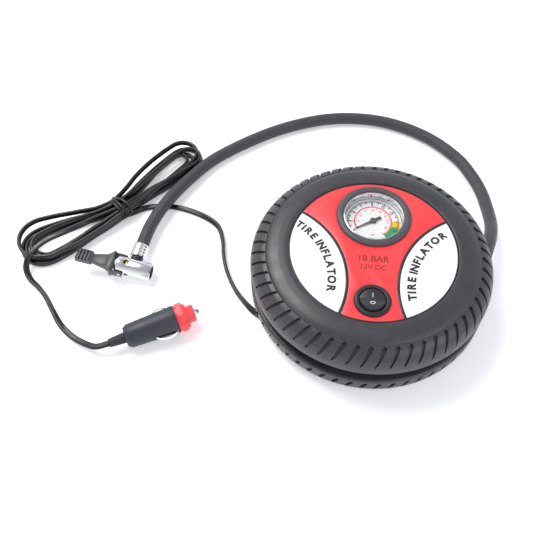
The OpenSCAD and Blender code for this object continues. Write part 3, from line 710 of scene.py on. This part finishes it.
def rounded(corners, radius=0.6, parts=3):
    """An outline with its corners rounded off."""
    result = [corners[0]]
    for a, b, c in zip(corners, corners[1:], corners[2:]):
        a, b, c = (np.array(p, float) for p in (a, b, c))
        r = min(radius, 0.45 * np.linalg.norm(b - a), 0.45 * np.linalg.norm(c - b))
        p, q = b + (a - b) / np.linalg.norm(a - b) * r, b + (c - b) / np.linalg.norm(c - b) * r
        for t in np.linspace(0, 1, parts):
            result.append(tuple((1 - t) ** 2 * p + 2 * t * (1 - t) * b + t * t * q))
    return result + [corners[-1]]


def slot_row(down):
    """Half width and depth of a tread slot; down is 0 at the middle of its head and 1 at its point."""
    if down < 0:
        head = max(1 - (down / SLOT_HEAD_SHARE) ** 2, 0)
        half = max(SLOT_HALF * math.sqrt(head), SLOT_HEAD_MIN) * MM
        return half, SLOT_DEPTH * MM * (head > 0)
    half = (SLOT_HALF - SLOT_TAPER * min(down, 1)) * MM
    return half, (SLOT_DEPTH - SLOT_RISE * down) * MM * (down < 1)


def tread_wheel(name, outer, inner, head_z, point_z, inward):
    """A full wheel from a sector one slot wide, its columns following the slot's slant."""
    rows = profile_rows(rounded(outer, 0.5), 6 * MM, 0.5 * MM)
    skin = len(rows)
    rows = np.vstack([rows, profile_rows(rounded(inner, 0.5), 6 * MM, 3 * MM)[1:]])
    run = run_of(rows)
    rim = [k for k in range(skin) if rows[k, 0] > BODY_R - RIM_BAND]
    head, point = (run[min(rim, key=lambda k: abs(rows[k, 1] - z))] for z in (head_z, point_z))
    slant = np.interp(run, [0, *sorted((head, point)), run[-1]],
                      [0, 0, -SLOT_LEAN, 0] if head < point else [0, -SLOT_LEAN, 0, 0])
    heading = np.gradient(rows, axis=0)
    normal = np.column_stack([-heading[:, 1], heading[:, 0]]) * inward
    normal /= np.linalg.norm(normal, axis=1)[:, None]
    pitch = 2 * math.pi / SLOTS
    points = []
    for k, ((r, z), (nr, nz)) in enumerate(zip(rows, normal)):
        half, depth = slot_row((run[k] - head) / (point - head))
        depth *= k < skin
        edge = pitch * r / 2
        between = (half + edge) / 2
        lip, foot = half + SLOT_LIP, half - SLOT_WALL_RUN
        for u, cut in ((-edge, 0), (-between, 0), (-lip, 0), (-foot, depth), (0, depth),
                       (foot, depth), (lip, 0), (between, 0), (edge, 0)):
            angle = (slant[k] + u) / r
            radius = r - nr * cut
            points.append((radius * math.cos(angle), radius * math.sin(angle), z - nz * cut))
    faces = []
    for i in range(len(rows) - 1):
        here, there = i * SLOT_COLUMNS, (i + 1) * SLOT_COLUMNS
        for k in range(SLOT_COLUMNS - 1):
            faces.append((here + k, here + k + 1, there + k + 1, there + k))
    sector = bpy.data.meshes.new(name)
    sector.from_pydata(points, [], faces)
    wheel = turned_copies(sector, SLOTS, pitch, FINISHES["housing"], 4e-6)
    turned_out(wheel)
    wheel.shade_smooth()
    wheel.set_sharp_from_angle(angle=math.radians(40))
    return wheel


def upper_outline():
    top, r, low = PANEL_TOP / MM, BODY_R / MM, GROOVE_TOP / MM
    panel, drum = PANEL_R / MM, DRUM_INNER / MM
    outer = [(52, top - 4.2), (52, top - 2), (panel + 0.2, top - 2), (panel + 0.2, top + 0.25),
             (panel + 0.8, top + 0.7), (58, top + 0.8), (62, top + 0.5), (66, top - 0.35),
             (r - 11.1, top - 1.5), (r - 10.75, top - 2.25), (r - 10.1, top - 1.95), (r - 7.5, top - 2.95),
             (r - 4.8, top - 4.75), (r - 2.4, top - 7.35), (r - 0.8, top - 10.7), (r - 0.05, top - 14),
             (r, top - 16), (r, low + 1.6), (r - 0.7, low + 0.4), (r - 2, low), (drum, low)]
    inner = [(drum, low + 2.2), (r - 2.4, low + 2.2), (r - 2.6, top - 15.5), (r - 3.2, top - 12.3),
             (r - 5.8, top - 8.3), (r - 10, top - 5.4), (64, top - 3.9), (56, top - 4.2), (52, top - 4.2)]
    return outer, inner


def lower_outline():
    base, r, low, high = BASE_Z / MM, BODY_R / MM, GROOVE_BOTTOM / MM, GROOVE_TOP / MM
    drum = DRUM_INNER / MM
    outer = [(66, base + 2.2), (66, base), (r - 9.5, base), (r - 5.5, base + 1.3), (r - 2.4, base + 3.8),
             (r - 0.7, base + 6.8), (r - 0.05, base + 10), (r, low - 1.6), (r - 0.7, low - 0.4), (r - 2, low),
             (DRUM_R / MM, low), (DRUM_R / MM, high), (drum, high)]
    inner = [(drum, low - 2.2), (r - 2.6, low - 2.2), (r - 2.6, base + 10), (r - 4.4, base + 6),
             (r - 7, base + 3.6), (r - 10.5, base + 2.2), (66, base + 2.2)]
    return outer, inner


RUN_BACK = 9 * MM
RUN_TOP = 9.5 * MM
RUN_GAP = 5.5 * MM
RUN_GAP_TOP = 8 * MM
RUN_WALLS = 7.6 * MM
BASE_DISC_R = 66.5 * MM
BASE_DISC_TOP = 9.6 * MM


def along_cord_run(x, y):
    """Place of a point along and across the cord's run under the base."""
    dx, dy = x - CORD_EXIT.x, y - CORD_EXIT.y
    return (dx * math.cos(CORD_TURN) + dy * math.sin(CORD_TURN),
            dy * math.cos(CORD_TURN) - dx * math.sin(CORD_TURN))


def in_cord_run(point, spread):
    along, across = along_cord_run(point.x, point.y)
    return along > -RUN_BACK and abs(across) < spread and point.z < RUN_TOP


def without(mesh, drop):
    """The mesh without the faces whose middle the test picks."""
    shape = bmesh.new()
    shape.from_mesh(mesh)
    dropped = [f for f in shape.faces if drop(f.calc_center_median())]
    bmesh.ops.delete(shape, geom=dropped, context="FACES")
    shape.to_mesh(mesh)
    shape.free()
    return mesh


def beyond_base(point):
    """True for what the turned wheel already covers: only the base disc and the cord's run stay."""
    outside = math.hypot(point.x, point.y) > BASE_DISC_R and not in_cord_run(point, RUN_WALLS)
    return point.z > BASE_DISC_TOP or outside


def make_housings():
    upper = tread_wheel("upper_tread", *upper_outline(),
                        head_z=PANEL_TOP - 2.6 * MM, point_z=PANEL_TOP - 12.2 * MM, inward=1)
    keep("upper_tread_wheel", upper, "inflator", "housing", stands_for=["upper_housing"])
    lower = tread_wheel("lower_tread", *lower_outline(),
                        head_z=GROOVE_BOTTOM - 4.1 * MM, point_z=BASE_Z + 3.4 * MM, inward=-1)
    without(lower, lambda point: in_cord_run(point, RUN_GAP) and point.z < RUN_GAP_TOP)
    lower.materials.clear()
    lower.materials.append(FINISHES["housing"])
    base = node_copy("lower_housing")
    without(base, beyond_base)
    base.materials.append(FINISHES["housing"])
    keep("lower_tread_wheel", joined("lower_tread_wheel", [lower, base]), "inflator", "housing",
         stands_for=["lower_housing"])


make_housings()


# ---- lettering and dial ---------------------------------------------------

def letters(words, size, material, place, bold=0.0, thickness=0.05 * MM):
    """Lettering as a thin raised mesh, moved to its place by a matrix."""
    curve = bpy.data.curves.new("letters", "FONT")
    curve.body = words
    curve.size = size
    curve.align_x = "CENTER"
    curve.align_y = "CENTER"
    curve.extrude = thickness
    curve.offset = bold
    piece = bpy.data.objects.new("letters", curve)
    bpy.context.scene.collection.objects.link(piece)
    mesh = evaluated(piece)
    bpy.data.objects.remove(piece)
    mesh.transform(place)
    mesh.materials.clear()
    mesh.materials.append(material)
    return mesh


def at(x, y, z, turn=0.0):
    return Matrix.Translation((x, y, z)) @ Matrix.Rotation(turn, 4, "Z")


def arc_words(words, centre_x, radius, first, size):
    """Letters set one by one round an arc, tops outwards, read clockwise."""
    meshes = []
    angle = math.radians(first)
    for letter in words:
        if letter == " ":
            angle -= 0.3 * size / radius
            continue
        mesh = letters(letter, size, INK_BLACK, Matrix.Identity(4), 0.05 * size)
        half = max(v.co.x for v in mesh.vertices)
        angle -= half / radius
        mesh.transform(at(centre_x + radius * math.cos(angle), ARC_Y + radius * math.sin(angle),
                          PANEL_TOP, angle - math.pi / 2))
        meshes.append(mesh)
        angle -= (half + 0.08 * size) / radius
    return meshes


def make_panel_words():
    left = arc_words("TIRE INFLATOR", -ARC_X, 51.6 * MM, 59, 7.1 * MM)
    right = arc_words("TIRE INFLATOR", ARC_X, 53.2 * MM, 190, 7.1 * MM)
    keep("left_insert_words", joined("left_insert_words", left), "inflator", "black_gloss")
    keep("right_insert_words", joined("right_insert_words", right), "inflator", "black_gloss")
    rating = [letters("18 BAR", 6.6 * MM, INK_DARK_RED, at(0, -8.2 * MM, PANEL_TOP), 0.0001),
              letters("12V DC", 5.2 * MM, INK_DARK_RED, at(0, -14.8 * MM, PANEL_TOP), 0.00005)]
    keep("panel_rating", joined("panel_rating", rating), "inflator", "red_plastic")


ZERO_DEGREES = 213
SWEEP_DEGREES = 270
END_DEGREES = ZERO_DEGREES - SWEEP_DEGREES
ZERO = math.radians(ZERO_DEGREES)
SWEEP = math.radians(SWEEP_DEGREES)


def dial_mark(inner, outer, width, lift=0.03 * MM):
    """A thin bar from the inner to the outer radius, drawn at the scale's zero."""
    x, y = math.cos(ZERO), math.sin(ZERO)
    corners = [(r * x - s * width / 2 * y, r * y + s * width / 2 * x, DIAL_TOP + h)
               for h in (0, lift) for r, s in ((inner, -1), (outer, -1), (outer, 1), (inner, 1))]
    faces = [(0, 3, 2, 1), (4, 5, 6, 7), (0, 1, 5, 4), (1, 2, 6, 5), (2, 3, 7, 6), (3, 0, 4, 7)]
    return mesh_of("mark", corners, faces, smooth=False)


def band(inner, outer, start, end, material, lift=0.02 * MM, parts=24):
    """A flat ring sector of ink on the dial, angles in degrees."""
    points, faces = [], []
    for k in range(parts + 1):
        a = math.radians(start + (end - start) * k / parts)
        for r in (inner, outer):
            for h in (0, lift):
                points.append((r * math.cos(a), r * math.sin(a), DIAL_TOP + h))
    for k in range(parts):
        a, b = 4 * k, 4 * k + 4
        faces += [(a + 1, a + 3, b + 3, b + 1), (a, b, b + 2, a + 2),
                  (a, a + 1, b + 1, b), (a + 2, b + 2, b + 3, a + 3)]
    faces += [(0, 2, 3, 1), (4 * parts, 4 * parts + 1, 4 * parts + 3, 4 * parts + 2)]
    mesh = mesh_of("band", points, faces, smooth=False)
    turned_out(mesh)
    mesh.materials.append(material)
    return mesh


def make_dial():
    """Printed dial: black outer scale, red inner scale, yellow and green zones, numbers."""
    parts = [turned_copies(dial_mark(15.9 * MM, 17.3 * MM, 0.34 * MM), 55, -SWEEP / 54, INK_BLACK, 1e-7),
             turned_copies(dial_mark(15.4 * MM, 17.5 * MM, 0.75 * MM), 19, -SWEEP / 18, INK_BLACK, 1e-7),
             turned_copies(dial_mark(11.2 * MM, 12.1 * MM, 0.28 * MM), 41, -SWEEP / 40, INK_RED, 1e-7),
             turned_copies(dial_mark(10.7 * MM, 12.1 * MM, 0.5 * MM), 9, -SWEEP / 8, INK_RED, 1e-7),
             band(12.05 * MM, 12.8 * MM, ZERO_DEGREES, END_DEGREES, INK_RED, parts=90),
             band(17.2 * MM, 17.5 * MM, ZERO_DEGREES, END_DEGREES, INK_BLACK, parts=90),
             band(12.9 * MM, 18.5 * MM, 5, -15, INK_YELLOW, 0.012 * MM),
             band(12.9 * MM, 18.5 * MM, -15, -56, INK_GREEN, 0.012 * MM)]
    for k in range(9):
        angle = ZERO - SWEEP * k / 9
        spot = Vector((math.cos(angle), math.sin(angle)))
        upright = angle - math.pi / 2
        if k < 7:
            place = at(*spot * 14.3 * MM, DIAL_TOP, upright)
            parts.append(letters(str(2 * k), 3.0 * MM, INK_BLACK, place, 0.00007, 0.03 * MM))
        place = at(*spot * 9.6 * MM, DIAL_TOP, upright)
        parts.append(letters(str(30 * k), 1.9 * MM, INK_RED, place, 0.00002, 0.03 * MM))
    parts.append(letters("bar", 2.2 * MM, INK_BLACK, at(0, -14.6 * MM, DIAL_TOP), 0.00003, 0.03 * MM))
    parts.append(letters("psi", 2.0 * MM, INK_RED, at(0, -11.2 * MM, DIAL_TOP), 0.00003, 0.03 * MM))
    print_mesh = joined("dial_scale", parts)
    print_mesh.transform(Matrix.Translation(GAUGE))
    keep("dial_scale", print_mesh, "inflator", "dial_print")


def make_rocker_marks():
    """The I and O of the rocker, laid on its two faces."""
    on = letters("I", 4.2 * MM, INK_WHITE, Matrix.Identity(4), 0.0, 0.04 * MM)
    off = letters("O", 4.2 * MM, INK_WHITE, Matrix.Identity(4), 0.00003, 0.04 * MM)
    for mark, spot, tilt in ((on, (0, 3.4, 2.37), 4), (off, (0, -2.5, 3.35), -24.5)):
        mark.transform(Matrix.Translation(SWITCH + Vector(spot) * MM)
                       @ Matrix.Rotation(math.radians(tilt), 4, "X"))
    keep("rocker_marks", joined("rocker_marks", [on, off]), "rocker", "black_gloss")


make_panel_words()
make_dial()
make_rocker_marks()


# ---- CAD pieces with eased edges ------------------------------------------

# Width of the rounding in millimetres.
EASE = {
    "red_panel": 0.15, "panel_border": 0.12, "white_insert_left": 0.2, "white_insert_right": 0.2,
    "gauge_bezel": 0.25, "gauge_rim": 0.12, "gauge_pointer": 0.06, "switch_body": 0.2,
    "rocker": 0.35, "chuck_inlet": 0.2, "chuck_barrel": 0.25, "chuck_lever": 0.2,
    "hose_ferrule": 0.25, "lever_pin": 0.12, "plug_strain_relief": 0.3, "plug_barrel": 0.3,
    "plug_collar": 0.35, "plug_tip": 0.25, "plug_contact_left": 0.12,
    "plug_contact_right": 0.12, "chuck_seal": 0.2}
eased_pieces = {node: eased(node, width * MM) for node, width in EASE.items()}


def dress_frame():
    for node, piece in frame["nodes"].items():
        piece.data.materials.clear()
        piece.data.materials.append(FINISHES[SLOT_OF[node]])


dress_frame()


# ---- floor and light ------------------------------------------------------

def make_stage():
    half = 3
    corners = [(-half, -half, 0), (half, -half, 0), (half, half, 0), (-half, half, 0)]
    floor = bpy.data.objects.new("floor", mesh_of("floor", corners, [(0, 1, 2, 3)], smooth=False))
    bpy.context.scene.collection.objects.link(floor)
    paper = Finish("lit_white_table", (0.9, 0.9, 0.91), 0.6)
    paper.shader.inputs["Emission Color"].default_value = (0.97, 0.96, 1.0, 1)
    paper.shader.inputs["Emission Strength"].default_value = 0.3
    paper.bump(paper.noise(40, 2), 0.02, 0.0001)
    floor.data.materials.append(paper.material)


def soft_light(name, place, target, size, power, colour):
    data = bpy.data.lights.new(name, "AREA")
    data.shape = "DISK"
    data.size = size
    data.energy = power
    data.color = colour
    light = bpy.data.objects.new(name, data)
    light.location = place
    light.rotation_euler = (Vector(target) - Vector(place)).to_track_quat("-Z", "Y").to_euler()
    bpy.context.scene.collection.objects.link(light)


def sky_gradient(tree):
    """Room light: bright white walls low down, dimmer overhead."""
    place = tree.nodes.new("ShaderNodeTexCoord")
    split = tree.nodes.new("ShaderNodeSeparateXYZ")
    fall = tree.nodes.new("ShaderNodeMapRange")
    fall.inputs["From Min"].default_value = 0.0
    fall.inputs["From Max"].default_value = 0.85
    fall.inputs["To Min"].default_value = 1.2
    fall.inputs["To Max"].default_value = 0.5
    tree.links.new(place.outputs["Generated"], split.inputs["Vector"])
    tree.links.new(split.outputs["Z"], fall.inputs["Value"])
    tree.links.new(fall.outputs["Result"], tree.nodes["Background"].inputs["Strength"])
    tree.nodes["Background"].inputs["Color"].default_value = (0.94, 0.95, 1.0, 1)


def light_studio():
    world = bpy.data.worlds.new("studio")
    bpy.context.scene.world = world
    world.use_nodes = True
    sky_gradient(world.node_tree)
    soft_light("key", place=(-0.7, 0.5, 1.2), target=(-0.05, 0.03, 0), size=0.9, power=17,
               colour=(1, 0.99, 0.97))
    soft_light("fill", place=(0.9, -0.7, 0.9), target=(-0.05, 0, 0), size=1.0, power=5,
               colour=(0.95, 0.97, 1))
    bpy.context.scene.view_settings.view_transform = "Standard"


make_stage()
light_studio()
